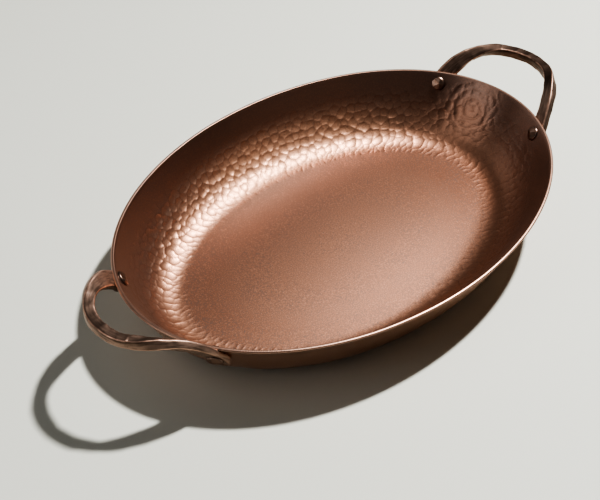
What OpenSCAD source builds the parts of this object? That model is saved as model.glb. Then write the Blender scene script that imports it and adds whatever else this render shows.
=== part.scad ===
// Oval hammered copper pan with two strap handles, each held by two rivets.
// Millimetres. Z is up, the pan stands on z = 0 with its middle over the origin,
// and X runs along its long axis, from one handle to the other.

/* [Pan] */
// Length over the rim, along X
rim_length = 380; // [340:1:440]
// Width over the rim, along Y
rim_width = 266; // [230:1:310]
// Height of the rim above the table
rim_height = 50; // [42:0.5:75]
// Length of the flat floor
floor_length = 276; // [230:1:300]
// Width of the flat floor
floor_width = 176; // [140:1:195]
// Outside radius of the cove between the floor and the wall
cove_radius = 36.5; // [20:0.5:40]
// Thickness of the copper sheet
sheet = 2.2; // [1.5:0.1:3]

/* [Handles] */
// How far the middle of the grip stands out past the end of the rim
handle_reach = 33.5; // [24:0.5:50]
// Height of the middle of the grip above the rim
handle_rise = 14.5; // [8:0.5:30]
// How much the shoulders of the grip lie below its middle
grip_crown = 2.5; // [0:0.5:6]
// Width of the strap at its feet
foot_width = 14.5; // [10:0.5:18]
// Width of the strap at the middle of the grip
grip_width = 7.5; // [6:0.5:12]
// Thickness of the strap at its feet
foot_thick = 5; // [3:0.1:6]
// Thickness of the strap at the grip
grip_thick = 7; // [4:0.1:9]
// Flat planed off each long edge of the strap
strap_edge = 1.1; // [0.4:0.1:1.4]
// How far a foot runs on past the middle of its rivet
foot_tail = 12; // [9:0.5:15]
// Slope at which a leg climbs the wall, from the level line along the wall
leg_angle = 63; // [40:1:72]
// How far a leg keeps its first direction before it swings out
leg_pull = 44; // [30:1:60]
// Half the length of the nearly straight middle of the grip
grip_pull = 27; // [15:1:40]
// Share of a leg at which the strap has the section of the grip
taper_end = 0.58; // [0.4:0.01:1]
// Share of a leg at which the strap starts to turn up
twist_start = 0.2; // [0:0.01:0.5]
// Share of a leg at which the strap faces up
twist_end = 0.8; // [0.55:0.01:1]

/* [Rivets] */
// Distance between the two rivets of one handle
rivet_spacing = 100; // [85:1:120]
// Depth of a rivet's middle below the rim
rivet_drop = 9; // [6.5:0.5:12]
// Diameter of the rivet holes
rivet_hole = 6; // [4:0.1:7]
// Diameter of the head inside the pan
inner_head = 11.5; // [8:0.5:13]
// Height of the head inside the pan
inner_head_rise = 3.2; // [1.5:0.1:4]
// Diameter of the head on the outside of the foot
outer_head = 12.5; // [8:0.5:14]
// Height of the head on the outside of the foot
outer_head_rise = 3.2; // [1.5:0.1:4]

/* [Fits] */
// Gap between a rivet's shank and its hole, on the radius
rivet_gap = 0.05; // [0:0.01:0.2]
// How deep the back of a foot is dressed to the curve of the wall
foot_bed = 0.4; // [0.2:0.05:0.6]
// How deep the inside head is hammered into the sheet
head_bed = 0.15; // [0.1:0.05:0.4]

/* [Hidden] */

$fn = 48;
pan_sides = 96;
cove_steps = 8;
leg_steps = 32;
tip_turns = [15, 35, 55, 75, 90];
dome_steps = 6;
cove_share = 0.9;
edge_share = 0.6;

copper = [0.62, 0.36, 0.25];
dark_copper = [0.40, 0.24, 0.17];

// Plan of the pan: half lengths of the rim and of the floor.
rim_a = rim_length / 2;
rim_b = rim_width / 2;
floor_a = floor_length / 2;
floor_b = floor_width / 2;

// Section of the wall: a cove from the edge of the floor, then a straight lean up to the rim.
// The first coordinate runs outwards from the edge of the floor and the second is the height.
wall_run = (rim_a - floor_a + rim_b - floor_b) / 2;
cove_room = (pow(wall_run, 2) + pow(rim_height, 2)) / (2 * rim_height);
cove = min(cove_radius, cove_share * cove_room);
lean = atan2(rim_height - cove, wall_run) + asin(cove / norm([wall_run, rim_height - cove]));

function cove_point(r, step) = [r * sin(lean * step / cove_steps), cove - r * cos(lean * step / cove_steps)];
outer_section = concat([for (i = [0:cove_steps]) cove_point(cove, i)], [[wall_run, rim_height]]);
inner_section = concat([for (i = [0:cove_steps]) cove_point(cove - sheet, i)],
                       [[wall_run - sheet / sin(lean), rim_height]]);

// Half lengths of the oval that passes through a point of the wall's section.
function oval_a(p) = floor_a + (rim_a - floor_a) * p[0] / wall_run;
function oval_b(p) = floor_b + (rim_b - floor_b) * p[0] / wall_run;
function ring(p) = [for (k = [0:pan_sides - 1])
    [oval_a(p) * cos(360 * k / pan_sides), oval_b(p) * sin(360 * k / pan_sides), p[1]]];

// Two triangles between neighbouring rings, split alike on both sides of X and of Y.
function wall_pair(i, k) = let (
        a = i * pan_sides + k,
        b = i * pan_sides + (k + 1) % pan_sides,
        c = a + pan_sides,
        d = b + pan_sides)
    floor(4 * k / pan_sides) % 2 == 0 ? [[a, c, d], [a, d, b]] : [[a, c, b], [c, d, b]];

// A closed solid through a list of points of the wall's section, flat at its first and last ring.
module oval_loft(section) {
    last = (len(section) - 1) * pan_sides;
    polyhedron(
        points = [for (p = section) each ring(p)],
        faces = concat(
            [[for (k = [0:pan_sides - 1]) k]],
            [for (i = [0:len(section) - 2]) for (k = [0:pan_sides - 1]) each wall_pair(i, k)],
            [[for (k = [pan_sides - 1:-1:0]) last + k]]),
        convexity = 6);
}

// The straight outer wall carried on above the rim, which the feet of the handles are dressed to.
module wall_former() {
    above = foot_width;
    oval_loft([outer_section[cove_steps], outer_section[cove_steps + 1],
               [wall_run + above / tan(lean), rim_height + above]]);
}

// Where a rivet goes through the wall: a point on its outer face, and the way out of the pan.
rivet_level = [wall_run - rivet_drop / tan(lean), rim_height - rivet_drop];
rivet_a = oval_a(rivet_level);
rivet_b = oval_b(rivet_level);
rivet_turn = asin(rivet_spacing / 2 / rivet_b);
flare_a = (rim_a - floor_a) / wall_run / tan(lean);
flare_b = (rim_b - floor_b) / wall_run / tan(lean);
seat = [rivet_a * cos(rivet_turn), rivet_b * sin(rivet_turn), rivet_level[1]];
seat_out = unit([cos(rivet_turn) / rivet_a, sin(rivet_turn) / rivet_b,
                 -pow(cos(rivet_turn), 2) * flare_a / rivet_a - pow(sin(rivet_turn), 2) * flare_b / rivet_b]);
seat_along = unit([seat_out[1], -seat_out[0], 0]);
seat_up = cross(seat_along, seat_out);

function unit(v) = v / norm(v);
function ease(u) = let (v = min(max(u, 0), 1)) v * v * (3 - 2 * v);

// Centre line of half a handle: straight along the foot, then one cubic curve up to the middle of the grip.
leg_way = cos(leg_angle) * seat_along + sin(leg_angle) * seat_up;
foot_middle = seat + (foot_thick / 2 - foot_bed) * seat_out;
grip_x = rim_a + handle_reach;
grip_z = rim_height + handle_rise;
leg_curve = [foot_middle, foot_middle + leg_pull * leg_way,
             [grip_x, grip_pull, grip_z - grip_crown], [grip_x, 0, grip_z]];
function leg_at(u) = pow(1 - u, 3) * leg_curve[0] + 3 * u * pow(1 - u, 2) * leg_curve[1]
    + 3 * u * u * (1 - u) * leg_curve[2] + pow(u, 3) * leg_curve[3];
function leg_along(u) = unit(pow(1 - u, 2) * (leg_curve[1] - leg_curve[0])
    + 2 * u * (1 - u) * (leg_curve[2] - leg_curve[1]) + u * u * (leg_curve[3] - leg_curve[2]));

// The strap's inner face lies on the wall at the foot and turns to face up at the shoulder.
function leg_face(u) = let (
        turned = ease((u - twist_start) / (twist_end - twist_start)),
        wanted = (1 - turned) * -seat_out + turned * [0, 0, 1],
        along = leg_along(u))
    unit(wanted - (wanted * along) * along);

// A station holds the centre, the way along, the way the inner face looks, the width and the thickness.
function foot_station(turn) = let (half = foot_width / 2)
    [foot_middle - (foot_tail - half + half * cos(turn)) * leg_way, leg_way, -seat_out,
     foot_width * sin(turn), foot_thick];
function leg_station(u) = let (taper = ease(u / taper_end))
    [leg_at(u), leg_along(u), leg_face(u),
     foot_width + (grip_width - foot_width) * taper, foot_thick + (grip_thick - foot_thick) * taper];
function other_side(s) = [[s[0][0], -s[0][1], s[0][2]], [-s[1][0], s[1][1], -s[1][2]],
                          [s[2][0], -s[2][1], s[2][2]], s[3], s[4]];
half_stations = concat([for (turn = tip_turns) foot_station(turn)],
                       [for (i = [0:leg_steps]) leg_station(i / leg_steps)]);
strap_stations = concat(half_stations,
                        [for (i = [len(half_stations) - 2:-1:0]) other_side(half_stations[i])]);

// Section of the strap: a flat bar with its four long edges planed off.
function strap_section(width, thick) = let (
        h = width / 2,
        t = thick / 2,
        e = min(strap_edge, edge_share * h))
    [[h, e - t], [h, t - e], [h - e, t], [e - h, t], [-h, t - e], [-h, e - t], [e - h, -t], [h - e, -t]];
function strap_ring(s) = let (across = cross(s[1], s[2]))
    [for (p = strap_section(s[3], s[4])) s[0] + p[0] * across + p[1] * s[2]];

module strap() {
    sides = len(strap_section(foot_width, foot_thick));
    last = (len(strap_stations) - 1) * sides;
    polyhedron(
        points = [for (s = strap_stations) each strap_ring(s)],
        faces = concat(
            [[for (k = [sides - 1:-1:0]) k]],
            [for (i = [0:len(strap_stations) - 2]) for (k = [0:sides - 1]) let (
                a = i * sides + k,
                b = i * sides + (k + 1) % sides,
                c = a + sides,
                d = b + sides) each [[a, b, d], [a, d, c]]],
            [[for (k = [0:sides - 1]) last + k]]),
        convexity = 6);
}

// Places what follows at a rivet, with Z along it out of the pan and z = 0 on the wall's outer face.
module at_rivet(x_side, y_side) {
    mirror([x_side < 0 ? 1 : 0, 0, 0])
        mirror([0, y_side < 0 ? 1 : 0, 0])
            translate(seat)
                rotate([0, acos(seat_out[2]), atan2(seat_out[1], seat_out[0])])
                    children();
}

// Rivets run from the seat of the inside head to the outer face of the foot.
inner_seat = head_bed - sheet;
outer_seat = foot_thick - foot_bed;

module rivet_bore() {
    reach = sheet + foot_thick;
    translate([0, 0, -reach])
        cylinder(h = 2 * reach, d = rivet_hole);
}

module head_pocket() {
    translate([0, 0, inner_seat - inner_head_rise])
        cylinder(h = inner_head_rise, d = inner_head);
}

module rivet() {
    shank = rivet_hole / 2 - rivet_gap;
    rotate_extrude()
        polygon(concat(
            [for (i = [dome_steps:-1:0])
                [inner_head / 2 * cos(90 * i / dome_steps),
                 inner_seat - inner_head_rise * sin(90 * i / dome_steps)]],
            [[shank, inner_seat], [shank, outer_seat]],
            [for (i = [0:dome_steps])
                [outer_head / 2 * cos(90 * i / dome_steps),
                 outer_seat + outer_head_rise * sin(90 * i / dome_steps)]]));
}

module handle(x_side) {
    difference() {
        mirror([x_side < 0 ? 1 : 0, 0, 0])
            strap();
        wall_former();
        at_rivet(x_side, 1) rivet_bore();
        at_rivet(x_side, -1) rivet_bore();
    }
}

module pan_body() {
    color(copper)
        difference() {
            oval_loft(concat(outer_section, [for (i = [cove_steps + 1:-1:0]) inner_section[i]]));
            for (x_side = [1, -1])
                for (y_side = [1, -1])
                    at_rivet(x_side, y_side) {
                        rivet_bore();
                        head_pocket();
                    }
        }
}

module handle_right() {
    color(dark_copper) handle(1);
}

module handle_left() {
    color(dark_copper) handle(-1);
}

module rivet_right_back() {
    color(dark_copper) at_rivet(1, 1) rivet();
}

module rivet_right_front() {
    color(dark_copper) at_rivet(1, -1) rivet();
}

module rivet_left_back() {
    color(dark_copper) at_rivet(-1, 1) rivet();
}

module rivet_left_front() {
    color(dark_copper) at_rivet(-1, -1) rivet();
}

pan_body();
handle_right();
handle_left();
rivet_right_back();
rivet_right_front();
rivet_left_back();
rivet_left_front();
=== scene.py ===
"""An oval copper pan with a hammered wall, two forged strap handles and four rivets."""
import math

import bpy
import numpy as np
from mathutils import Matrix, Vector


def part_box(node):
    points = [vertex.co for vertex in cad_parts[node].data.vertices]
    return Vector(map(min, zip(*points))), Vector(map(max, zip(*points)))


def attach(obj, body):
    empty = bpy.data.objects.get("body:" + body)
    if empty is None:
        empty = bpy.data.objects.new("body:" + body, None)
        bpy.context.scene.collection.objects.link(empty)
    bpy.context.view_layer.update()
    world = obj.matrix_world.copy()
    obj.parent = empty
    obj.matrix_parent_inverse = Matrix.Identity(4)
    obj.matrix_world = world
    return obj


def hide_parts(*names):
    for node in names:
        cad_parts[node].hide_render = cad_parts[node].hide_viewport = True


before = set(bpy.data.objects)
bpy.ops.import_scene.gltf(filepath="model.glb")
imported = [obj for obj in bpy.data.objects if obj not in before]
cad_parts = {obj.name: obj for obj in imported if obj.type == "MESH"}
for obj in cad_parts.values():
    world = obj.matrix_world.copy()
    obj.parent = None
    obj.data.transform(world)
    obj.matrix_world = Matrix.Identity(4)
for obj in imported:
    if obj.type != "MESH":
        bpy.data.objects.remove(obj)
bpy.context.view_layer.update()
PAN_LOW, PAN_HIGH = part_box("pan_body")

bl_info = {
    "name": "Hammered Copper Pan",
    "version": (1, 0, 0),
    "blender": (4, 5, 0),
    "location": "3D View > Sidebar > Copper Pan",
    "description": "Raises an oval copper pan, forges its strap handles, sets its rivets and lights it",
    "category": "Add Mesh",
}

TAU = 2 * math.pi
MM = 0.001
# points round the pan, round a strap and round a rivet
PAN_POINTS, STRAP_POINTS, RIVET_POINTS = 870, 48, 48
# seeds of the draws for the pan and for the first rivet
PAN_SEED, RIVET_SEED = 7, 40
# each handle: side, seed of its draws, how far it is rubbed, and how much of that its grip lacks
# the handles differ as painted light: the left one is painted lighter, the right one and the grips' tops
# darker
HANDLES = {"right": (1, 21, 0.52, 0.95), "left": (-1, 22, 0.92, 0.75)}
RIVET_SIDES = {"right_back": (1, 1), "right_front": (1, -1), "left_back": (-1, 1), "left_front": (-1, -1)}


# Sizes and colours.

def setting(**kind):
    """Maker of numbers of one kind that a user can change: it takes a name, a description and a default."""
    def number(name, description, default):
        return bpy.props.FloatProperty(name=name, description=description, default=default, **kind)
    return number


length = setting(unit="LENGTH", precision=4)
angle = setting(unit="ROTATION")
share = setting(min=0, max=1, subtype="FACTOR")
power = setting(unit="POWER")


def colour(name, description, default):
    """A colour that a user can change."""
    return bpy.props.FloatVectorProperty(name=name, description=description, default=default,
                                         min=0, max=1, size=3, subtype="COLOR")


class PanSizes(bpy.types.PropertyGroup):
    rim_length: length("Rim length", "Length over the rim", PAN_HIGH.x - PAN_LOW.x)
    rim_width: length("Rim width", "Width over the rim", PAN_HIGH.y - PAN_LOW.y)
    rim_height: length("Rim height", "Height of the rim above the table", PAN_HIGH.z)
    floor_length: length("Floor length", "Length of the flat floor", 0.276)
    floor_width: length("Floor width", "Width of the flat floor", 0.176)
    cove_radius: length("Cove radius", "Outside radius between the floor and the wall", 0.0365)
    end_sweep: length("Sweep at the ends", "Length of the inner face's bend at the ends", 0.045)
    side_sweep: length("Sweep at the sides", "Length of its bend at the back and the front left", 0.067)
    front_sweep: length("Sweep at the front", "Length of its bend at the front right", 0.070)
    sheet: length("Sheet", "Thickness of the copper sheet", 0.0022)
    dents_from: length("Dents from", "Climb from the floor's edge to the first row of dents", 0.0005)
    dents_to: length("Dents to", "Climb from the floor's edge to the last dents", 0.046)
    dent_size: length("Dent size", "Distance between neighbouring dents", 0.0070)
    hammer_radius: length("Hammer radius", "Radius of the hammer's rounded face", 0.024)
    knot_turn: angle("Ring mark turn", "Turn from the right end to the ring of blows", math.radians(8))
    knot_climb: length("Ring mark climb", "Climb from the floor's edge to the ring's middle", 0.048)
    knot_size: length("Ring mark size", "Distance from the ring's middle to its last groove", 0.020)
    floor_dome: length("Floor dome", "How much the middle of the floor is sprung up", 0.0017)


class HandleSizes(bpy.types.PropertyGroup):
    reach: length("Reach", "How far the middle of the grip stands out past the rim", 0.0335)
    rise: length("Rise", "Height of the middle of the grip above the rim", 0.0145)
    crown: length("Crown", "How much the shoulders of the grip lie below its middle", 0.0025)
    foot_width: length("Foot width", "Width of the strap at its feet", 0.0145)
    grip_width: length("Grip width", "Width of the strap at the middle of the grip", 0.0075)
    foot_thick: length("Foot thickness", "Thickness of the strap at its feet", 0.005)
    grip_thick: length("Grip thickness", "Thickness of the strap at the grip", 0.007)
    foot_tail: length("Foot tail", "How far a foot runs on past its rivet", 0.012)
    foot_bed: length("Foot bed", "How deep the back of a foot is dressed to the wall", 0.0004)
    leg_angle: angle("Leg angle", "Slope at which a leg climbs the wall", math.radians(63))
    leg_pull: length("Leg pull", "How far a leg keeps its first direction", 0.044)
    grip_pull: length("Grip pull", "Half the length of the nearly straight middle of the grip", 0.027)
    taper_end: share("Taper end", "Share of a leg at which the strap has the section of the grip", 0.58)
    twist_start: share("Twist start", "Share of a leg at which the strap starts to turn up", 0.20)
    twist_end: share("Twist end", "Share of a leg at which the strap faces up", 0.80)
    facet_depth: length("Facet depth", "Depth of the forging hammer's flats", 0.0003)


class RivetSizes(bpy.types.PropertyGroup):
    spacing: length("Spacing", "Distance between the two rivets of a handle", 0.100)
    drop: length("Drop", "Depth of a rivet's middle below the rim", 0.009)
    shank: length("Shank", "Diameter of the shank", 0.0059)
    inner_head: length("Inner head", "Diameter of the head inside the pan", 0.0115)
    inner_rise: length("Inner head height", "Height of the head inside the pan", 0.0032)
    outer_head: length("Outer head", "Diameter of the head outside the foot", 0.0125)
    outer_rise: length("Outer head height", "Height of the head outside the foot", 0.0032)
    head_bed: length("Head bed", "How deep the inside head is hammered into the sheet", 0.00015)


class CopperFinish(bpy.types.PropertyGroup):
    satin: colour("Satin copper", "Rubbed copper of the hammered wall", (0.46, 0.254, 0.162))
    dulled: colour("Dulled copper", "Copper of the floor", (0.345, 0.176, 0.115))
    # painted shade: darker, redder copper of the floor towards both ends
    end_shade_red: colour("Reddened copper", "Warmer copper of the floor towards both ends", (0.240, 0.105, 0.063))
    # painted shade of the floor towards the back wall and of the upper wall at the left end
    shaded: colour("Shaded copper", "Duller copper of the floor towards the back wall", (0.095, 0.085, 0.075))
    # brown of the grain, and also the painted shade that darkens the wall as it climbs
    browned_and_shade: colour("Browned copper", "Copper darkened in the grain and up the wall", (0.205, 0.147, 0.123))
    # painted shade: the dark colour of the lines between the dents
    crease_shade: colour("Creases", "Copper left dark in the lines between the dents", (0.150, 0.076, 0.050))
    bright: colour("Bright copper", "Copper worn bright on edges and in the grain", (0.75, 0.46, 0.34))
    forged: colour("Forged copper", "Dark copper of the handles", (0.33, 0.222, 0.170))
    # also the dark of the painted shade on the grips' tops and on the darker handle
    scale: colour("Fire scale", "Dark scale left from the forging", (0.045, 0.029, 0.022))
    satin_rough: share("Satin roughness", "Roughness of the floor", 0.41)
    wall_rough: share("Wall roughness", "Roughness of the hammered wall", 0.38)
    scratch_rough: share("Scratch roughness", "How much rougher the fine scratches of the pan are", 0.30)
    forged_rough: share("Forged roughness", "Roughness of the handles", 0.50)


class StudioSettings(bpy.types.PropertyGroup):
    table: colour("Table", "Colour of the table", (0.527, 0.528, 0.470))
    key_power: power("Key power", "Power of the key lamp", 100)
    key_size: length("Key size", "Diameter of the key lamp", 0.14)
    card_power: power("Card power", "Light from the card on the left", 1.9)
    fill_power: power("Fill power", "Light from the card above the left", 2.3)
    front_power: power("Front card power", "Light from the card at the front", 2.4)
    back_power: power("Back card power", "Light from the card at the back", 2.5)
    room: share("Room", "Brightness of the room around the table", 0.004)


class CopperPanSettings(bpy.types.PropertyGroup):
    pan: bpy.props.PointerProperty(type=PanSizes)
    handle: bpy.props.PointerProperty(type=HandleSizes)
    rivet: bpy.props.PointerProperty(type=RivetSizes)
    finish: bpy.props.PointerProperty(type=CopperFinish)
    studio: bpy.props.PointerProperty(type=StudioSettings)


# Shared geometry.

# how far a blow misses its place, as a share of the distance to the next one
SHAKE = 0.3
# added to a normal before it is brought to length one, so that none has no length
TINY = 1e-15


def unit(v):
    """Vectors brought to length one."""
    return v / np.linalg.norm(v, axis=-1, keepdims=True)


def ease(x, start, run):
    """Smooth step from 0 to 1 over a run: three u squared minus two u cubed, where u is the share of it."""
    u = np.clip((x - start) / run, 0, 1)
    return u * u * (3 - 2 * u)


def wavy(turn, waves, rng):
    """Sum of cosines round a ring, one for each number of waves, with chosen heights and drawn phases."""
    phase = rng.uniform(0, TAU, len(waves))
    return sum(h * np.cos(n * turn + p) for (n, h), p in zip(waves, phase))


def ring_normals(rings):
    """Normals of a skin: the way round crossed with the way from ring to ring, brought to length one."""
    lengthwise = np.gradient(rings, axis=0)
    sideways = np.roll(rings, -1, 1) - np.roll(rings, 1, 1)
    return unit(np.cross(sideways, lengthwise) + TINY)


def skin(name, rings, attributes):
    """Mesh of closed rings: quads between neighbouring rings, and a fan to the mean point at each end.

    rings is an array of ring by point by coordinate. attributes holds one number per point of that grid.
    Its faces are turned over if the volume that they enclose comes out negative, so they point outwards.
    """
    count, around = rings.shape[:2]
    points = np.concatenate([rings.reshape(-1, 3), [rings[0].mean(0)], [rings[-1].mean(0)]])
    k = np.arange(around)
    nxt = (k + 1) % around
    base = np.arange(count - 1)[:, None] * around
    quads = np.stack([base + k, base + nxt, base + around + nxt, base + around + k], -1).reshape(-1, 4)
    last = (count - 1) * around
    fans = np.concatenate([np.stack([nxt, k, np.full(around, count * around)], -1),
                           np.stack([last + k, last + nxt, np.full(around, count * around + 1)], -1)])
    triangles = np.concatenate([quads[:, :3], quads[:, [0, 2, 3]], fans])
    a, b, c = (points[triangles[:, i]] for i in range(3))
    if (a * np.cross(b, c)).sum() < 0:
        quads, fans = quads[:, ::-1], fans[:, ::-1]
    mesh = bpy.data.meshes.new(name)
    mesh.from_pydata(points.tolist(), [], quads.tolist() + fans.tolist())
    mesh.shade_smooth()
    for key, values in attributes.items():
        flat = np.concatenate([values.ravel(), [values[0].mean()], [values[-1].mean()]])
        mesh.attributes.new(key, "FLOAT", "POINT").data.foreach_set("value", flat.astype(np.float32))
    mesh.validate()
    piece = bpy.data.objects.new(name, mesh)
    bpy.context.scene.collection.objects.link(piece)
    return piece


def hand_over(piece, node, material):
    """Puts a finished piece in the place of its solid."""
    piece.data.materials.append(material)
    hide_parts(node)
    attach(piece, "root")


class Blows:
    """Hammer blows on a sheet that is closed around: each one leaves a bowl, and the deepest bowl wins.

    A bowl's height at a distance (p, q) from its middle is p squared over twice its radius along, plus the
    same across for q, plus a tilt, minus its depth. The sheet's height is the smooth minimum of all the bowls
    and of the untouched level: minus softness times the log of the sum of exp(minus height / softness).
    """

    def __init__(self, around, climb, girth, softness):
        self.around, self.climb, self.girth, self.softness = around, climb, girth, softness
        self.total = np.ones((len(climb), len(around)))

    def strike(self, middle, level, depth, radii, size, turn=0.0, tilt=(0.0, 0.0)):
        """One blow at a share of the way around and a level of the climb, felt as far away as its size."""
        rows = np.flatnonzero(np.abs(self.climb - level) < size)
        if not len(rows) or depth <= 0:
            return
        away = (self.around - middle + 0.5) % 1 - 0.5
        girth = self.girth[rows]
        columns = np.flatnonzero(np.abs(away) * girth.max() < size)
        s = away[columns][None, :] * girth[:, None]
        t = (self.climb[rows] - level)[:, None]
        c, n = math.cos(turn), math.sin(turn)
        p, q = c * s + n * t, c * t - n * s
        height = p * p / (2 * radii[0]) + q * q / (2 * radii[1]) + tilt[0] * p + tilt[1] * q - depth
        self.total[np.ix_(rows, columns)] += np.exp(-height / self.softness)

    def groove(self, off, away, depth, radius):
        """Blows side by side in a ring: a bowl across the groove, at a distance away from the ring's middle.

        off holds each point's distance from that middle.
        """
        height = (off - away) ** 2 / (2 * radius) - depth
        self.total += np.where(np.abs(off - away) < away, np.exp(-height / self.softness), 0)

    def surface(self):
        """Height of the struck sheet, zero where it is untouched and negative in the bowls."""
        return -self.softness * np.log(self.total)

    def ridges(self, surface, sharp=0.1):
        """How sharply the sheet bends outwards: one where it turns by sharp radians in a millimetre."""
        step = (self.girth / len(self.around))[:, None]
        around = (np.roll(surface, 1, 1) + np.roll(surface, -1, 1) - 2 * surface) / step ** 2
        slope = np.diff(surface, axis=0) / np.diff(self.climb)[:, None]
        up = np.zeros_like(surface)
        up[1:-1] = np.diff(slope, axis=0) / ((self.climb[2:] - self.climb[:-2]) / 2)[:, None]
        return np.clip(-(around + up) * MM / sharp, 0, 1)


# Pan body.

# the power in the slope of the inner face, and the steps of the table in which that slope is summed up
BEND, BEND_STEPS = 2.5, 1000
# steps round an oval from which even ones are taken
OVAL_STEPS = 20000
# sides where the inner face sweeps up more slowly: how much, turn and width
SLOW_SIDES = ((0.55, 62, 42), (0.95, 118, 40), (1.0, 235, 50))
# how much higher the dents reach at the right end and at the left end
RIGHT_DENTS, LEFT_DENTS = 16 * MM, 5 * MM
# pitch of the first dents as a share of the full one, and distance of the rows as a share of the pitch
FIRST_PITCH, ROW_PITCH = 0.62, 0.82
# least share of the hammer's curve that a bowl keeps, along and up, and the curve of the weakest bowl
LEAST_ALONG, LEAST_UP, LEAST_CURVE = 0.2, 0.3, 0.02
# how much the lines between the dents are raised
RIDGE_RISE = 0.06 * MM
# rings of the ring mark: distance from its middle as a share of its size, and number of blows
KNOT_RINGS = ((0.2, 4), (0.6, 8), (1.0, 12))
# rings of points: shares of the floor, climbs at its edge and up the dents, shares of the underside
FLOOR_SHARES = np.array([0.06, 0.22, 0.42, 0.64, 0.86])
EDGE_CLIMBS = np.array([-20, -16, -13, -10.5, -8.5, -6.8, -5.2, -3.8, -2.7]) * MM
DENT_CLIMBS = np.arange(-1.8, 52, 0.86) * MM
BELOW_SHARES = np.array([0.7, 0.3, 0.05])
# rings of points on the plain upper wall: where they start, how many, and how far below the rim they end
PLAIN_FROM, PLAIN_RINGS, PLAIN_END = 53 * MM, 12, 0.9 * MM
# rings of points on the outer face: how many, and how far below the rim they start
OUTSIDE_RINGS, OUTSIDE_START = 13, 2.0 * MM
# the rim's section from the inner face to a rounded outer edge: share of the lip, height and wear
RIM_OUT = np.array([-0.10, 0.06, 0.30, 0.80, 1.30, 1.75, 2.10, 2.32, 2.38]) / 2.49
RIM_UP = np.array([-0.42, -0.14, -0.02, 0.0, -0.04, -0.16, -0.42, -0.80, -1.25]) * MM
RIM_WEAR = np.array([0.2, 0.3, 0.3, 0.4, 0.6, 0.9, 1, 0.8, 0.4])
# slow waves of the rim: number round the pan, and height in millimetres
RIM_WAVES = ((2, 0.10), (3, 0.08), (5, 0.07), (9, 0.05), (14, 0.05), (23, 0.03))


class WallSection:
    """Section of the wall: outside a round cove and a straight lean, inside a slower sweep and the lean."""

    def __init__(self, pan):
        self.rim = np.array([pan.rim_length, pan.rim_width]) / 2
        self.floor = np.array([pan.floor_length, pan.floor_width]) / 2
        self.height, self.sheet, self.cove = pan.rim_height, pan.sheet, pan.cove_radius
        self.run = float((self.rim - self.floor).mean())
        rise = self.height - self.cove
        self.lean = math.atan2(rise, self.run) + math.asin(self.cove / math.hypot(self.run, rise))
        self.lean_out, self.lean_up = math.cos(self.lean), math.sin(self.lean)

    def oval(self, out):
        """Half lengths of the oval at a distance out from the floor's edge."""
        return self.floor + (self.rim - self.floor) * (np.asarray(out, float)[..., None] / self.run)

    def outer_face(self, climb):
        """How far out and how high the outer face is after a climb: it bends with the cove, then leans on."""
        turn = np.clip(climb / self.cove, 0, self.lean)
        straight = np.maximum(climb - self.cove * self.lean, 0)
        out = self.cove * np.sin(turn) + straight * self.lean_out
        return out, self.cove * (1 - np.cos(turn)) + straight * self.lean_up

    def slope(self, radius, base=0.0):
        """Length of climb from the start of the cove to the rim."""
        cove_top = base + radius * (1 - self.lean_out)
        return radius * self.lean + (self.height - cove_top) / self.lean_up

    def inner_face(self, climb, sweep, soft=MM):
        """The inner face after a climb from the floor's edge: it bends up over a sweep, then leans on.

        Its slope at a share of the sweep is the lean times one minus (one minus the share) to the power of
        BEND. Out and up are running sums of the cosine and the sine of that slope. The sweep starts where it
        has to, so that the face ends at the rim, and the climb is scaled to end there too. A length along the
        sweep, before it is looked up, is eased in: soft times the log of one plus exp(length / soft).
        """
        share = np.linspace(0, 1, BEND_STEPS + 1)
        slope = self.lean * (1 - (1 - share) ** BEND)
        bend_out, bend_up = (np.concatenate([[0], np.cumsum((f[1:] + f[:-1]) / 2)]) / BEND_STEPS
                             for f in (np.cos(slope), np.sin(slope)))
        straight = (self.height - self.sheet - sweep * bend_up[-1]) / self.lean_up
        start = self.run - self.sheet / self.lean_up - sweep * bend_out[-1] - straight * self.lean_out
        whole = self.slope(self.cove - self.sheet, self.sheet)
        along = (climb - start) * (sweep + straight) / (whole - start)
        eased = soft * np.logaddexp(0, along / soft)
        bent = np.clip(eased / sweep, 0, 1)
        past = np.maximum(eased - sweep, 0)
        out = start + along - eased + sweep * np.interp(bent, share, bend_out) + past * self.lean_out
        return out, self.sheet + sweep * np.interp(bent, share, bend_up) + past * self.lean_up


def even_turns(half, count):
    """Turns round an oval whose points lie the same length apart along it."""
    fine = np.linspace(0, TAU, OVAL_STEPS + 1)
    step = np.hypot(half[0] * np.sin(fine), half[1] * np.cos(fine))
    run = np.concatenate([[0], np.cumsum((step[1:] + step[:-1]) / 2)])
    return np.interp(np.arange(count) / count * run[-1], run, fine)


def girth_of(half):
    """Length round an oval of half lengths a and b.

    It is pi times their sum times one plus 3 h over (10 plus the root of 4 minus 3 h), where h is the square
    of their difference over their sum.
    """
    a, b = half[..., 0], half[..., 1]
    h = ((a - b) / (a + b)) ** 2
    return math.pi * (a + b) * (1 + 3 * h / (10 + np.sqrt(4 - 3 * h)))


def wrapped(turn):
    """A turn brought between minus and plus half a round."""
    return (turn + math.pi) % TAU - math.pi


def near_turn(turn, middle, width):
    """Bell curve round the pan: one at a turn in degrees and falling off over a width in degrees.

    Turns go from the right end by way of the back.
    """
    return np.exp(-(wrapped(turn - math.radians(middle)) / math.radians(width)) ** 2)


def sweep_at(pan, turn):
    """Sweep of the inner face and how softly it starts, at each turn.

    It is the sweep at the ends, plus bell curves for the longer sweeps of the back and the front left, and
    one for the front right, where it is longest and starts most softly.
    """
    front = near_turn(turn, -58, 38)
    left = near_turn(turn, 180, 50)
    slow = sum(weight * near_turn(turn, middle, width) for weight, middle, width in SLOW_SIDES)
    sweep = pan.end_sweep + (pan.side_sweep - pan.end_sweep) * np.maximum(slow, 0.25 * left)
    return sweep + (pan.front_sweep - pan.end_sweep) * front, MM * (0.9 + 5.5 * front)


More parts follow.
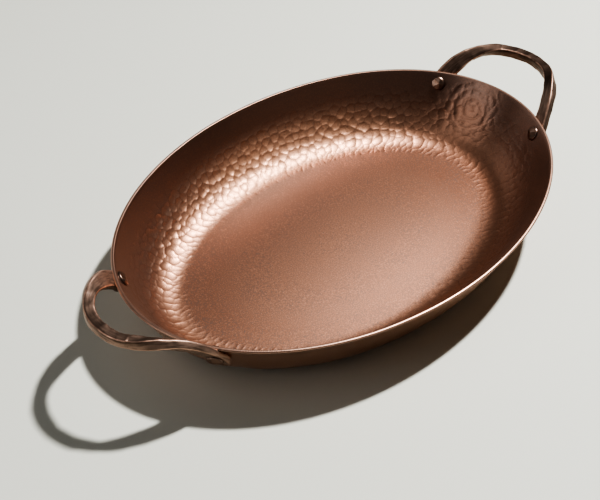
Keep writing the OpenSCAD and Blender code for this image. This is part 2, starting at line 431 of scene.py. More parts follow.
def knot_distance(pan, wall, turns, climb):
    """Distance over the wall from the middle of the ring mark to each point of a grid of climb by turn."""
    girth = girth_of(wall.oval(wall.inner_face(pan.knot_climb, pan.end_sweep)[0]))
    around = np.arange(len(turns)) / len(turns)
    sideways = (around - np.interp(pan.knot_turn, turns, around) + 0.5) % 1 - 0.5
    return np.hypot(sideways[None] * girth, (climb - pan.knot_climb)[:, None])


def dent_strength(pan, turn, climb):
    """How much of the hammer's curve a dent takes, from 0 to 1.

    It eases off towards the top of the hammered band, which reaches higher at both ends, and above the first
    rows at the right end. Bell curves weaken it along the front and a little at the left back.
    """
    right = near_turn(turn, 0, 40)
    top = pan.dents_to + RIGHT_DENTS * right + LEFT_DENTS * near_turn(turn, 168, 40)
    strength = 1 - float(ease(climb, 0.6 * top, 0.6 * top))
    strength *= 1 - 0.6 * right * float(ease(climb, 5 * MM, 6 * MM))
    strength *= (1 - 0.6 * near_turn(turn, -40, 40)) * (1 - 0.65 * near_turn(turn, 245, 40))
    return strength * (1 - 0.32 * near_turn(turn, 160, 38))


def strike_rows(pan, wall, sweep, turns, blows, off_knot, rng):
    """Strikes rows of dents from the floor's edge upwards, and returns the last row's half lengths.

    The dents are small and close in the first row, then larger. Each row lies in the gaps of the one below.
    A blow takes the curve of the hammer's face, of which the wall already has a part: one over a bowl's
    radius is the strength times (the hammer's curve minus the wall's own). Its depth is its reach squared
    over twice the bowl's radius along the row. The place of the ring mark is left free.
    """
    level, row = pan.dents_from, 0
    while level < pan.dents_to + RIGHT_DENTS:
        pitch = pan.dent_size * (FIRST_PITCH + (1 - FIRST_PITCH) * ease(level, pan.dents_from, 13 * MM))
        half = wall.oval(wall.inner_face(level, sweep)[0])
        count = int(round(float(girth_of(half)) / pitch))
        cove_bend = 0.8 * BEND * wall.lean / sweep * max(1 - level / sweep, 0) ** (BEND - 1)
        rounder = 1 - 0.28 * ease(level, 6 * MM, 14 * MM)
        for k in range(count):
            middle = (k + 0.5 * (row % 2) + rng.uniform(-SHAKE, SHAKE)) / count % 1
            turn = np.interp(middle, blows.around, turns)
            climb = level + rng.normal(0, 1.0 if row else 0.4) * MM
            strength = dent_strength(pan, turn, climb)
            curve = 1 / (pan.hammer_radius * rng.uniform(0.8, 1.2) * rounder)
            across = (half[0] * math.sin(turn)) ** 2 + (half[1] * math.cos(turn)) ** 2
            oval_bend = half[0] * half[1] / across ** 1.5
            along = 1 / (strength * max(curve - oval_bend, LEAST_ALONG * curve) + LEAST_CURVE)
            up = 1 / (strength * max(curve - cove_bend, LEAST_UP * curve) + LEAST_CURVE)
            reach = pitch * rng.uniform(0.64, 0.80)
            spot = off_knot[np.abs(blows.climb - climb).argmin(), int(middle * len(turns))]
            if spot > pan.knot_size + 4 * MM and strength > 0.03:
                blows.strike(middle, climb, depth=reach * reach / (2 * along), radii=(along, up),
                             size=10 * MM, turn=rng.normal(0, 0.3))
        level += ROW_PITCH * pitch
        row += 1
    return half


def strike_ring(pan, turns, blows, off_knot, half, rng):
    """Strikes the ring mark: rings of blows round one spot, each one a groove with deeper arcs along it.

    A groove's distance from the spot is lopsided by two sines of the way round.
    """
    wave = wrapped(turns) * half.mean() / pan.knot_size + np.sin(blows.climb / (6 * MM))[:, None]
    lopsided = 1 + 0.16 * np.sin(2 * wave + 0.6) + 0.09 * np.sin(5 * wave + 2.1)
    girth = float(girth_of(half))
    share = np.interp(pan.knot_turn, turns, blows.around)
    for away, count in KNOT_RINGS:
        blows.groove(off_knot * lopsided, away * pan.knot_size, depth=0.13 * MM, radius=22 * MM)
        for k in range(count):
            way = TAU * (k + rng.uniform(-SHAKE, SHAKE)) / count + 5 * away
            off = away * pan.knot_size + rng.normal(0, 1.1) * MM
            blows.strike((share + off * math.cos(way) / girth) % 1, pan.knot_climb + off * math.sin(way),
                         depth=0.33 * MM * rng.uniform(0.4, 1.1), radii=(18 * MM, 40 * MM), size=11 * MM,
                         turn=way + rng.normal(0, 0.25))


def dent_wall(pan, wall, turns, climb, rng):
    """Height of the hammered inner face over a grid of climb by turn, and how much of a ridge each point is.

    The lines between the dents rise by RIDGE_RISE times how sharply the face bends. The metal is only moved
    about, so each level keeps its mean height, and the dents fade out on the floor.
    """
    around = np.arange(len(turns)) / len(turns)
    sweep = (pan.end_sweep + pan.side_sweep) / 2
    girth = girth_of(wall.oval(wall.inner_face(climb, sweep)[0]))
    blows = Blows(around, climb, girth, softness=0.008 * MM)
    off_knot = knot_distance(pan, wall, turns, climb)
    half = strike_rows(pan, wall, sweep, turns, blows, off_knot, rng)
    strike_ring(pan, turns, blows, off_knot, half, rng)
    dents = blows.surface()
    lines = blows.ridges(dents)
    dents = dents + RIDGE_RISE * lines
    fade = ease(climb, -4 * MM, 3 * MM)[:, None]
    return (dents - dents.mean(1, keepdims=True)) * fade, lines * fade


def dent_outside(wall, turns, climb, rng):
    """Height of the outer face over a grid of climb by turn: rows of broad shallow blows."""
    around = np.arange(len(turns)) / len(turns)
    girth = girth_of(wall.oval(wall.outer_face(climb)[0]))
    blows = Blows(around, climb, girth, softness=0.012 * MM)
    pitch, row_pitch, radius = 19 * MM, 15 * MM, 160 * MM
    for row, level in enumerate(np.arange(5 * MM, 66 * MM, row_pitch)):
        count = int(round(float(girth_of(wall.oval(wall.outer_face(level)[0]))) / pitch))
        for k in range(count):
            blows.strike((k + 0.5 * (row % 2) + rng.uniform(-SHAKE, SHAKE)) / count % 1,
                         level + rng.normal(0, 1.6) * MM, depth=0.25 * MM * rng.uniform(0.3, 1.0),
                         radii=(radius, radius), size=24 * MM)
    return blows.surface()


def pan_marks(pan, wall, turns, climb, middle, rows, shape):
    """What the finish reads at each point of the pan: smooth steps up the climb times bell curves round it.

    middle is the way out over the floor as a share. rows says which rings are inside, rim and outside.
    """
    inside, rim, outside = rows
    up = climb[:, None]
    marks = {name: np.zeros(shape) for name in ("rim_wear", "climb", "broken", "shade", "red_end_shade", "outer")}
    marks["rim_wear"][rim] = RIM_WEAR[:, None]
    marks["outer"][outside] = 1
    # painted shade: the wall is browned as it climbs, less at the ring mark and along the back, more at the
    # left end
    knot = np.exp(-(knot_distance(pan, wall, turns, climb) / (0.7 * pan.knot_size)) ** 2)
    browned_and_shade = np.maximum(up, 0) / climb[-1] * (1 - 0.3 * knot) * (1 - 0.6 * near_turn(turns, 68, 60))
    marks["climb"][inside] = browned_and_shade + 0.15 * ease(up, 8 * MM, 12 * MM) * near_turn(turns, 178, 45)
    marks["climb"][rim] = 1
    marks["climb"][outside] = 0.2
    # the blows leave a broken satin on the back of the hammered band, and less of it towards both ends
    band = ease(up, -3 * MM, 6 * MM) * (1 - ease(up, 32 * MM, 24 * MM))
    marks["broken"][inside] = band * (0.12 + 0.88 * near_turn(turns, 78, 36))
    # painted shade: the floor is darker and greyer towards the back wall, and so is the upper wall at the
    # left end
    marks["shade"][:inside.stop] = middle ** 2 * near_turn(turns, 88, 46)
    marks["shade"][inside] *= 1 - ease(up, -4 * MM, 8 * MM)
    marks["shade"][inside] += 0.85 * ease(up, 21 * MM, 16 * MM) * near_turn(turns, 182, 45)
    # painted shade: the floor and the foot of the wall are darker and redder towards both ends
    right, left = near_turn(turns, -10, 48), 0.58 * near_turn(turns, 178, 48)
    floor = middle[:inside.start]
    marks["red_end_shade"][:inside.start] = floor ** 1.3 * right + floor ** 2 * left
    marks["red_end_shade"][inside] = (1 - ease(up, 0, 22 * MM)) * right + (1 - ease(up, -4 * MM, 9 * MM)) * left
    return marks


def pan_rings(pan, rng):
    """Rings of the pan from the middle of its floor, up inside, over the rim and down to the middle below.

    A ring's points are half length times cosine, half width times sine, and height. The dents move them
    along the normal of the plain surface. The floor is sprung up by its dome times a power of one minus the
    square of the way out, and slow waves lift and lower the rim by a hair.
    """
    wall = WallSection(pan)
    turns = even_turns((wall.floor + wall.rim) / 2, PAN_POINTS)
    rim_climb = wall.slope(wall.cove - wall.sheet, wall.sheet) - PLAIN_END
    climb_in = np.concatenate([EDGE_CLIMBS, DENT_CLIMBS, np.linspace(PLAIN_FROM, rim_climb, PLAIN_RINGS)])
    climb_out = np.linspace(wall.slope(wall.cove) - OUTSIDE_START, 0, OUTSIDE_RINGS)
    out_in, up_in = wall.inner_face(climb_in[:, None], *sweep_at(pan, turns))
    out_out, up_out = wall.outer_face(climb_out)
    lip = wall.sheet / wall.lean_up
    rim_out, rim_up = wall.run - lip + RIM_OUT * lip, wall.height + RIM_UP
    around = np.ones((1, len(turns)))
    half = np.concatenate([FLOOR_SHARES[:, None, None] * wall.oval(out_in[:1]), wall.oval(out_in),
                           wall.oval(rim_out[:, None] * around), wall.oval(out_out[:, None] * around),
                           BELOW_SHARES[:, None, None] * wall.floor * around[..., None]])
    up = np.concatenate([wall.sheet * around.repeat(len(FLOOR_SHARES), 0), up_in, rim_up[:, None] * around,
                         up_out[:, None] * around, np.zeros((len(BELOW_SHARES), len(turns)))])
    rings = np.stack([half[..., 0] * np.cos(turns), half[..., 1] * np.sin(turns), up], -1)
    normal = ring_normals(rings)
    if normal[2, 0, 2] < 0:
        normal = -normal
    starts = np.cumsum([len(FLOOR_SHARES), len(climb_in), len(rim_out), len(climb_out)])
    inside, rim, outside = rows = [slice(start, stop) for start, stop in zip(starts, starts[1:])]
    height, ridges = np.zeros(up.shape), np.zeros(up.shape)
    height[inside], ridges[inside] = dent_wall(pan, wall, turns, climb_in, rng)
    height[outside] = dent_outside(wall, turns, climb_out, rng) * ease(climb_out, 0, 8 * MM)[:, None]
    rings += height[..., None] * normal
    middle = np.minimum(half[:inside.stop, :, 0] / wall.floor[0], 1)
    rings[:inside.stop, :, 2] += pan.floor_dome * (1 - middle ** 2) ** 1.4
    near_rim = ease(rings[..., 2], 0.7 * wall.height, 0.3 * wall.height)
    rings[..., 2] += wavy(turns, RIM_WAVES, rng) * MM * near_rim
    return rings, {"ridge": ridges, **pan_marks(pan, wall, turns, climb_in, middle, rows, up.shape)}


# Handles and rivets.

# stations of a strap along a leg, round the tip of a foot and along its flat, and where the tip starts
LEG_STATIONS, TIP_STATIONS, FLAT_STATIONS, TIP_START = 110, 12, 4, math.radians(6)
# power that squares up a strap's round section, and its girth as a multiple of width plus thickness
SQUARING, BAR_GIRTH = 0.34, 1.8
# how much fuller than its solid a grip is on each side
GRIP_FULLER = 0.3 * MM
# a rivet head: angle at which its dome starts, points up it, how many of them flats reach, and flats
DOME_START, DOME_POINTS, FLAT_REACH, FLATS = math.radians(88), 15, 13, 6
# powers that fill out a dome sideways and upwards
DOME_WIDE, DOME_HIGH = 0.9, 0.85


class Seat:
    """Where a rivet goes through the right back of the wall: a point outside and three directions."""

    def __init__(self, pan, rivet):
        wall = WallSection(pan)
        out = wall.run - rivet.drop / math.tan(wall.lean)
        a, b = wall.oval(out)
        turn = math.asin(rivet.spacing / 2 / b)
        c, s = math.cos(turn), math.sin(turn)
        flare = (wall.rim - wall.floor) / wall.run / math.tan(wall.lean)
        self.point = np.array([a * c, b * s, wall.height - rivet.drop])
        self.out = unit(np.array([c / a, s / b, -c * c * flare[0] / a - s * s * flare[1] / b]))
        self.along = unit(np.array([self.out[1], -self.out[0], 0]))
        self.up = np.cross(self.along, self.out)


def strap_stations(pan, handle, rivet):
    """Stations of the right handle from foot to foot: middle, way along, inner way, width and thickness.

    The foot is straight and ends in a half round. The leg is one cubic curve from the foot to the middle of
    the grip. The inner face turns from the wall to face up at the shoulder, and the section eases from the
    foot's to the grip's. The other half is the mirror image.
    """
    seat = Seat(pan, rivet)
    wall = WallSection(pan)
    way = math.cos(handle.leg_angle) * seat.along + math.sin(handle.leg_angle) * seat.up
    foot = seat.point + (handle.foot_thick / 2 - handle.foot_bed) * seat.out
    grip = np.array([wall.rim[0] + handle.reach, 0, wall.height + handle.rise])
    shoulder = grip + np.array([0, handle.grip_pull, -handle.crown])
    p0, p1, p2, p3 = foot, foot + handle.leg_pull * way, shoulder, grip
    half = handle.foot_width / 2
    turn = np.linspace(TIP_START, math.pi / 2, TIP_STATIONS)[:, None]
    tip = foot - (handle.foot_tail - half + half * np.cos(turn)) * way
    flat = np.linspace(handle.foot_tail - half, 0, FLAT_STATIONS + 2)[1:-1, None]
    u = np.linspace(0, 1, LEG_STATIONS)[:, None]
    leg = (1 - u) ** 3 * p0 + 3 * u * (1 - u) ** 2 * p1 + 3 * u * u * (1 - u) * p2 + u ** 3 * p3
    along = unit((1 - u) ** 2 * (p1 - p0) + 2 * u * (1 - u) * (p2 - p1) + u * u * (p3 - p2))
    turned = ease(u, handle.twist_start, handle.twist_end - handle.twist_start)
    wanted = (1 - turned) * -seat.out + turned * np.array([0, 0, 1])
    face = unit(wanted - (wanted * along).sum(-1, keepdims=True) * along)
    taper = ease(u, 0, handle.taper_end)
    width = handle.foot_width + (handle.grip_width - handle.foot_width) * taper
    thick = handle.foot_thick + (handle.grip_thick - handle.foot_thick) * taper
    before = TIP_STATIONS + FLAT_STATIONS
    middle = np.concatenate([tip, foot - flat * way, leg])
    along = np.concatenate([np.repeat(way[None], before, 0), along])
    face = np.concatenate([np.repeat(-seat.out[None], before, 0), face])
    width = np.concatenate([handle.foot_width * np.sin(turn), np.full((FLAT_STATIONS, 1), handle.foot_width),
                            width])
    thick = np.concatenate([np.full((before, 1), handle.foot_thick), thick])
    mirror = np.array([1, -1, 1])
    return [np.concatenate([values, values[-2::-1] * sign]) for values, sign in
            ((middle, mirror), (along, -mirror), (face, mirror), (width, 1), (thick, 1))]


def strap_rings(pan, handle, rivet, rng):
    """Rings of the right handle: a rounded bar carried along the stations, hammered and dressed to the wall.

    The section is half width times a power of cosine, half thickness times a power of sine. Each blow of the
    forging hammer cuts a nearly flat facet, and the grip is a little fuller all round. A point that falls
    inside the outer wall moves straight out to it.
    """
    middle, along, face, width, thick = strap_stations(pan, handle, rivet)
    across = np.cross(along, face)
    turn = (np.arange(STRAP_POINTS) + 0.5) / STRAP_POINTS * TAU
    c, s = np.cos(turn), np.sin(turn)
    x = np.sign(c) * np.abs(c) ** SQUARING
    y = np.sign(s) * np.abs(s) ** SQUARING
    rings = (middle[:, None] + across[:, None] * (x[:, None] * width[:, None] / 2)
             + face[:, None] * (y[:, None] * thick[:, None] / 2))
    step = np.linalg.norm(np.diff(middle, axis=0), axis=-1)
    travel = np.concatenate([[0], np.cumsum(step)])
    outline = np.stack([x * handle.grip_width, y * handle.grip_thick], -1) / 2
    edge = np.linalg.norm(np.roll(outline, -1, 0) - outline, axis=-1)
    around = np.concatenate([[0], np.cumsum(edge)[:-1]]) / edge.sum()
    blows = Blows(around, travel, BAR_GIRTH * (width + thick)[:, 0], softness=0.004 * MM)
    level = 3 * MM
    while level < travel[-1]:
        for side in range(4):
            blows.strike((side / 4 + rng.uniform(-0.06, 0.06)) % 1, level + rng.normal(0, 2.2) * MM,
                         depth=handle.facet_depth * rng.uniform(0.3, 1.15), radii=(26 * MM, 55 * MM),
                         size=11 * MM, turn=rng.normal(0, 0.25),
                         tilt=(rng.normal(0, 0.04), rng.normal(0, 0.05)))
        level += rng.uniform(6.5, 11) * MM
    height = blows.surface()
    height -= height.mean()
    normal = ring_normals(rings)
    outwards = ((rings - middle[:, None]) * normal).sum(-1, keepdims=True)
    normal = normal * np.sign(outwards[len(middle) // 2, 0])
    # 0 at the middle of the grip and 1 at the feet
    to_foot = np.abs(travel / travel[-1] * 2 - 1)
    fuller = GRIP_FULLER * (1 - ease(to_foot, 0.6, 0.2))[:, None]
    rings = rings + (height + fuller)[..., None] * normal
    wall = WallSection(pan)
    oval = wall.oval(wall.run - (wall.height - rings[..., 2]) / math.tan(wall.lean))
    inside = np.hypot(rings[..., 0] / oval[..., 0], rings[..., 1] / oval[..., 1])
    rings[..., :2] /= np.minimum(inside, 1)[..., None]
    corner = np.repeat(np.clip((np.abs(x * y) - 0.73) / 0.06, 0, 1)[None], len(rings), 0)
    # fire scale and painted shade are left on the upper side of the grip, and streaks run lengthwise
    grip_scale_and_shade = (1 - ease(to_foot, 0.35, 0.25))[:, None] * np.maximum(y, 0)
    return rings, {"edge": corner, "grip_scale_and_shade": grip_scale_and_shade, "along": np.repeat(travel[:, None], len(turn), 1),
                   "across": x * width / 2, "through": y * thick / 2}


def rivet_rings(pan, handle, rivet, rng, sides):
    """Rings of one rivet: a domed head inside, the shank, and a domed head outside, turned round its axis.

    A dome's radius is the head's times a power of cosine, and its height the rise times a power of sine.
    Flats cap each crown, one nearly level and the others tilted: the height is the lower of the dome and of
    these planes, and a plane goes no lower than a tenth of the rise.
    """
    seat = Seat(pan, rivet)
    low, high = rivet.head_bed - pan.sheet, handle.foot_thick - handle.foot_bed
    arc = np.linspace(DOME_START, 0, DOME_POINTS)
    wide, tall = np.cos(arc) ** DOME_WIDE, np.sin(arc) ** DOME_HIGH
    shank = rivet.shank / 2
    radius = np.concatenate([rivet.inner_head / 2 * wide, [shank, shank], rivet.outer_head / 2 * wide[::-1]])
    level = np.concatenate([low - rivet.inner_rise * tall, [low, high], high + rivet.outer_rise * tall[::-1]])
    turn = np.arange(RIVET_POINTS) / RIVET_POINTS * TAU
    x, y = radius[:, None] * np.cos(turn), radius[:, None] * np.sin(turn)
    z = np.repeat(level[:, None], len(turn), 1)
    for crown, sign, rise, rows in ((level[0], -1, rivet.inner_rise, slice(0, FLAT_REACH)),
                                    (level[-1], 1, rivet.outer_rise, slice(-FLAT_REACH, None))):
        base = crown - sign * rise
        for k in range(FLATS):
            way = TAU * (k + rng.uniform(-SHAKE, SHAKE)) / FLATS
            tilt = rng.uniform(0.10, 0.38) if k else 0.03
            top = rise * (1 - rng.uniform(0.05, 0.10))
            plane = top - tilt * ((x[rows] - 0.6 * MM) * math.cos(way) + y[rows] * math.sin(way))
            z[rows] = base + sign * np.minimum(sign * (z[rows] - base), np.maximum(plane, 0.1 * rise))
    points = seat.point + x[..., None] * seat.along + y[..., None] * seat.up + z[..., None] * seat.out
    crown_mark = np.concatenate([np.sin(arc), [0, 0], np.sin(arc[::-1])])
    return points * np.array([*sides, 1]), {"crown": np.repeat(crown_mark[:, None], len(turn), 1)}


# Finishes.

class Finish:
    """A procedural material: a metal shader with helpers that add one node each."""

    def __init__(self, name, **sockets):
        self.material = bpy.data.materials.new(name)
        self.material.use_nodes = True
        tree = self.material.node_tree
        tree.nodes.clear()
        self.nodes, self.links = tree.nodes, tree.links
        self.shader = self.add("ShaderNodeBsdfPrincipled", **sockets)
        output = self.add("ShaderNodeOutputMaterial")
        self.links.new(self.shader.outputs["BSDF"], output.inputs["Surface"])
        self.place = self.add("ShaderNodeTexCoord").outputs["Object"]

    def feed(self, socket, value):
        """Links a socket to another one, or sets it to a number or a colour."""
        if isinstance(value, bpy.types.NodeSocket):
            self.links.new(value, socket)
        elif socket.type == "RGBA" and len(value) == 3:
            socket.default_value = (*value, 1)
        else:
            socket.default_value = value

    def add(self, kind, settings=None, **sockets):
        """A node with its settings and sockets."""
        node = self.nodes.new(kind)
        for key, value in (settings or {}).items():
            setattr(node, key, value)
        for key, value in sockets.items():
            self.feed(node.inputs[key.replace("_", " ")], value)
        return node

    def grain(self, scale, detail):
        """Noise with this many cells in a metre."""
        return self.add("ShaderNodeTexNoise", Vector=self.place, Scale=scale, Detail=detail,
                        Roughness=0.6).outputs["Fac"]

    def ramp(self, value, low, high, out_low=0.0, out_high=1.0):
        """Maps low to high of a value onto out_low to out_high, held at the ends."""
        return self.add("ShaderNodeMapRange", Value=value, From_Min=low, From_Max=high, To_Min=out_low,
                        To_Max=out_high).outputs["Result"]

    def mark(self, name):
        """One of the piece's own attributes."""
        return self.add("ShaderNodeAttribute", {"attribute_name": name}).outputs["Fac"]

    def blend(self, amount, first, second):
        """Colour between two."""
        node = self.add("ShaderNodeMix", {"data_type": "RGBA"})
        for key, value in ((0, amount), (6, first), (7, second)):
            self.feed(node.inputs[key], value)
        return node.outputs[2]

    def reckon(self, operation, first, second):
        """Two values joined by one operation."""
        node = self.add("ShaderNodeMath", {"operation": operation})
        for key, value in enumerate((first, second)):
            self.feed(node.inputs[key], value)
        return node.outputs[0]

    def plus(self, first, second):
        """Sum of two values."""
        return self.reckon("ADD", first, second)

    def times(self, first, second):
        """Product of two values."""
        return self.reckon("MULTIPLY", first, second)

    def wire(self, name, socket):
        """Links one of the shader's own sockets."""
        self.links.new(socket, self.shader.inputs[name])

    def bump(self, height, strength, distance):
        """Fine relief that only the light sees."""
        node = self.add("ShaderNodeBump", Strength=strength, Distance=distance, Height=height)
        self.wire("Normal", node.outputs["Normal"])


def satin_copper(finish):
    """Rubbed copper: dull on the floor, brighter on the dents, browned above them, worn bright on the rim.

    The floor is darker towards the back and darker and redder towards both ends, as painted shade, and the
    browning above the dents is painted shade too. A fine grain makes brown specks and bright glints,
    strongest on the floor. The lines between the dents are painted darker as shade, and the finest grain
    makes scratches that are rougher than the metal between them.
    """
    f = Finish("satin_copper", Metallic=1.0)
    fine, cloud, scratch = f.grain(1100, 2), f.grain(28, 5), f.grain(7000, 0)
    rim, climb, broken = f.mark("rim_wear"), f.mark("climb"), f.mark("broken")
    outer, ridge = f.mark("outer"), f.mark("ridge")
    base = f.blend(f.ramp(f.plus(broken, outer), 0, 0.8), finish.dulled, finish.satin)
    # painted shade towards the back wall and on the upper wall at the left end
    base = f.blend(f.mark("shade"), base, finish.shaded)
    # painted shade: darker and redder towards both ends
    base = f.blend(f.ramp(f.mark("red_end_shade"), 0, 1, 0, 0.9), base, finish.end_shade_red)
    flat = f.ramp(climb, 0, 0.10, 1, 0.25)
    speck = f.times(f.ramp(fine, 0.3, 0.7, -0.8, 0.9), flat)
    grain_and_shade = f.plus(speck, f.ramp(cloud, 0.3, 0.7, -0.05, 0.15))
    # painted shade: the wall is browned as it climbs
    grain_and_shade = f.plus(grain_and_shade, f.ramp(climb, 0.2, 0.6, 0, 0.6))
    base = f.blend(f.ramp(grain_and_shade, 0, 1), base, finish.browned_and_shade)
    glint = f.times(f.ramp(fine, 0.5, 0.3, 0, 0.24), flat)
    base = f.blend(glint, base, finish.bright)
    # painted shade darkens the lines between the dents
    base = f.blend(f.ramp(ridge, 0.15, 1, 0, 0.34), base, finish.crease_shade)
    worn = f.plus(f.ramp(rim, 0, 1, 0, 0.35), f.ramp(outer, 0, 1, 0, 0.5))
    f.wire("Base Color", f.blend(worn, base, finish.bright))
    rough = f.ramp(climb, 0.05, 0.2, finish.satin_rough, finish.wall_rough)
    rough = f.plus(rough, f.times(broken, f.ramp(scratch, 0.46, 0.54, 0, finish.scratch_rough)))
    f.wire("Roughness", f.plus(rough, f.ramp(outer, 0, 1, 0, -0.10)))
    f.bump(f.plus(f.times(fine, 0.07), f.times(ridge, 0.05)), strength=1.0, distance=MM)
    return f.material


def forged_copper(finish):
    """Dark forged copper: fire scale in streaks and patches, rubbed bright along the edges.

    The streaks are noise on the strap's own lengths along, across and through, drawn out along it.
    """
    f = Finish("forged_copper", Metallic=1.0)
    patch, fine = f.grain(130, 5), f.grain(1100, 3)
    drawn_out = f.times(f.mark("along"), 0.12)
    section = f.add("ShaderNodeCombineXYZ", X=drawn_out, Y=f.mark("across"), Z=f.mark("through")).outputs[0]
    streak = f.add("ShaderNodeTexNoise", Vector=section, Scale=700, Detail=2).outputs["Fac"]
    # the rubbing is partly painted light: one handle is painted lighter than the other
    rubbed_and_lit = f.times(f.mark("rubbed_and_lit"), f.ramp(streak, 0.3, 0.7, 0.45, 1.55))
    rubbed_and_lit = f.times(rubbed_and_lit, f.ramp(patch, 0.35, 0.7, 1.15, 0.7))
    base = f.blend(f.ramp(rubbed_and_lit, 0, 1), finish.scale, finish.forged)
    worn = f.times(f.mark("edge"), f.ramp(patch, 0.3, 0.7, 0.8, 0.1))
    f.wire("Base Color", f.blend(worn, base, finish.bright))
    rough = f.ramp(fine, 0.3, 0.7, finish.forged_rough - 0.06, finish.forged_rough + 0.06)
    f.wire("Roughness", f.plus(rough, f.ramp(worn, 0, 1, 0, -0.1)))
    f.bump(f.plus(patch, fine), strength=0.12, distance=0.3 * MM)
    return f.material


def rivet_copper(finish):
    """Dark rivet copper, rubbed brighter on the crown of each head."""
    f = Finish("rivet_copper", Metallic=1.0)
    patch = f.grain(420, 4)
    crown = f.times(f.mark("crown"), f.ramp(patch, 0.3, 0.7, 0.1, 0.5))
    base = f.blend(f.ramp(patch, 0.35, 0.7, 0.1, 0.5), finish.browned_and_shade, finish.scale)
    f.wire("Base Color", f.blend(crown, base, finish.satin))
    f.wire("Roughness", f.ramp(patch, 0.3, 0.7, 0.28, 0.42))
    f.bump(patch, strength=0.1, distance=0.2 * MM)
    return f.material


def table_top(studio):
    """Plain pale matt table."""
    return Finish("table_top", Base_Color=tuple(studio.table), Roughness=0.75,
                  Specular_IOR_Level=0.2).material


# Operators.

# the camera: place in metres, degrees down and round, lens and sensor in millimetres, sight in metres
CAMERA_PLACE = (-0.577378, -0.534631, 0.689586)
CAMERA_DOWN, CAMERA_ROUND = 41.4975, -45.0068
CAMERA_LENS, CAMERA_SENSOR, CAMERA_SIGHT = 82.075, 36, 50
# half the table's side in metres
TABLE_HALF = 4


class COPPERPAN_OT_body(bpy.types.Operator):
    """Raise the pan body and hammer its wall"""
    bl_idname = "copper_pan.raise_body"
    bl_label = "Raise the body"

    def execute(self, context):
        settings = context.scene.copper_pan
        rings, marks = pan_rings(settings.pan, np.random.default_rng(PAN_SEED))
        piece = skin("hammered_pan", rings, marks)
        hand_over(piece, "pan_body", satin_copper(settings.finish))
        return {"FINISHED"}


class COPPERPAN_OT_handles(bpy.types.Operator):
    """Forge the two strap handles"""
    bl_idname = "copper_pan.forge_handles"
    bl_label = "Forge the handles"

    def execute(self, context):
        settings = context.scene.copper_pan
        material = forged_copper(settings.finish)
        for side, (sign, seed, rubbed_and_lit, grip_scale_and_shade) in HANDLES.items():
            rings, marks = strap_rings(settings.pan, settings.handle, settings.rivet,
                                       np.random.default_rng(seed))
            marks["rubbed_and_lit"] = rubbed_and_lit * (1 - grip_scale_and_shade * marks.pop("grip_scale_and_shade"))
            piece = skin("strap_handle_" + side, rings * np.array([sign, 1, 1]), marks)
            hand_over(piece, "handle_" + side, material)
        return {"FINISHED"}


class COPPERPAN_OT_rivets(bpy.types.Operator):
    """Set the four rivets that hold the handles"""
    bl_idname = "copper_pan.set_rivets"
    bl_label = "Set the rivets"

    def execute(self, context):
        settings = context.scene.copper_pan
        material = rivet_copper(settings.finish)
        for seed, (place, sides) in enumerate(RIVET_SIDES.items(), RIVET_SEED):
            rings, marks = rivet_rings(settings.pan, settings.handle, settings.rivet,
                                       np.random.default_rng(seed), sides)
            piece = skin("domed_rivet_" + place, rings, marks)
            hand_over(piece, "rivet_" + place, material)
        return {"FINISHED"}


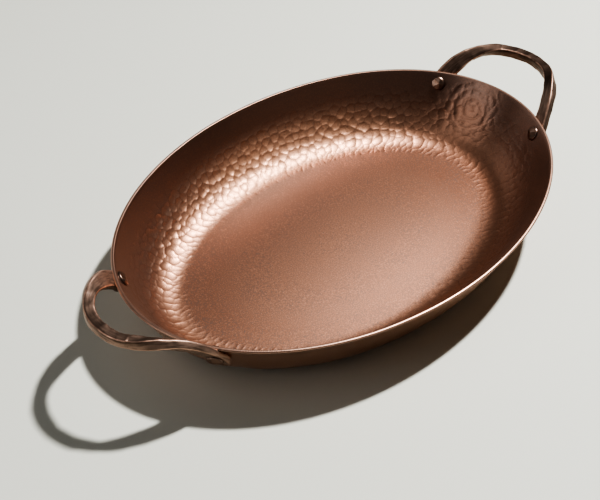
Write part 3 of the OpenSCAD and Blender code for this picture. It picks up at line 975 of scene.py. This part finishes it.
class COPPERPAN_OT_studio(bpy.types.Operator):
    """Lay the table, hang the lamps and set up the camera"""
    bl_idname = "copper_pan.set_studio"
    bl_label = "Set up the studio"

    def execute(self, context):
        scene = context.scene
        studio = scene.copper_pan.studio
        mesh = bpy.data.meshes.new("table")
        corners = [(x * TABLE_HALF, y * TABLE_HALF, 0) for x, y in ((-1, -1), (1, -1), (1, 1), (-1, 1))]
        mesh.from_pydata(corners, [], [(0, 1, 2, 3)])
        table = bpy.data.objects.new("table", mesh)
        scene.collection.objects.link(table)
        mesh.materials.append(table_top(studio))
        for lamp in (
                ("key_lamp", studio.key_power, studio.key_size, (1.015, -0.104, 1.771), (0, -1.35, 0)),
                ("side_card", studio.card_power, 0.6, (-1.15, 0.29, 0.44), (0.1, 0, 0.03)),
                ("fill_card", studio.fill_power, 1.0, (-0.94, 0.34, 1.11), (-0.2, 0, 0)),
                ("front_card", studio.front_power, 2.8, (-0.36, -1.40, 0.42), (0, 0, 0.03)),
                ("back_card", studio.back_power, 1.2, (-0.12, 1.30, 0.34), (0, 0, 0.03))):
            self.lamp(scene, *lamp)
        world = bpy.data.worlds.new("room")
        world.use_nodes = True
        world.node_tree.nodes["Background"].inputs["Color"].default_value = (studio.room,) * 3 + (1,)
        scene.world = world
        data = bpy.data.cameras.new("camera")
        data.sensor_fit = "HORIZONTAL"
        data.sensor_width = CAMERA_SENSOR
        data.lens = CAMERA_LENS
        data.clip_end = CAMERA_SIGHT
        camera = bpy.data.objects.new("camera", data)
        camera.location = CAMERA_PLACE
        camera.rotation_euler = (math.radians(90 - CAMERA_DOWN), 0, math.radians(CAMERA_ROUND))
        scene.collection.objects.link(camera)
        scene.camera = camera
        scene.view_settings.view_transform = "AgX"
        scene.view_settings.look = "AgX - High Contrast"
        return {"FINISHED"}

    def lamp(self, scene, name, watts, size, place, aim):
        """Hangs a round lamp at a place, turned so that it faces its aim."""
        data = bpy.data.lights.new(name, "AREA")
        data.shape = "DISK"
        data.size = size
        data.energy = watts
        lamp = bpy.data.objects.new(name, data)
        x, y, z = unit(np.array(aim) - np.array(place))
        lamp.location = place
        lamp.rotation_euler = (math.acos(-z), 0, math.atan2(-x, y))
        scene.collection.objects.link(lamp)


class COPPERPAN_PT_panel(bpy.types.Panel):
    """Sizes, colours and steps of the copper pan"""
    bl_idname = "COPPERPAN_PT_panel"
    bl_label = "Copper Pan"
    bl_space_type = "VIEW_3D"
    bl_region_type = "UI"
    bl_category = "Copper Pan"

    def draw(self, context):
        settings = context.scene.copper_pan
        for group in (settings.pan, settings.handle, settings.rivet, settings.finish, settings.studio):
            box = self.layout.box()
            for name in group.__annotations__:
                box.prop(group, name)
        for step in STEPS:
            self.layout.operator(step.bl_idname)


STEPS = (COPPERPAN_OT_body, COPPERPAN_OT_handles, COPPERPAN_OT_rivets, COPPERPAN_OT_studio)
CLASSES = (PanSizes, HandleSizes, RivetSizes, CopperFinish, StudioSettings, CopperPanSettings,
           *STEPS, COPPERPAN_PT_panel)


def register():
    for cls in CLASSES:
        bpy.utils.register_class(cls)
    bpy.types.Scene.copper_pan = bpy.props.PointerProperty(type=CopperPanSettings)


def unregister():
    del bpy.types.Scene.copper_pan
    for cls in reversed(CLASSES):
        bpy.utils.unregister_class(cls)


def main():
    register()
    bpy.ops.copper_pan.raise_body()
    bpy.ops.copper_pan.forge_handles()
    bpy.ops.copper_pan.set_rivets()
    bpy.ops.copper_pan.set_studio()
    bpy.context.view_layer.update()


if __name__ == "__main__":
    main()
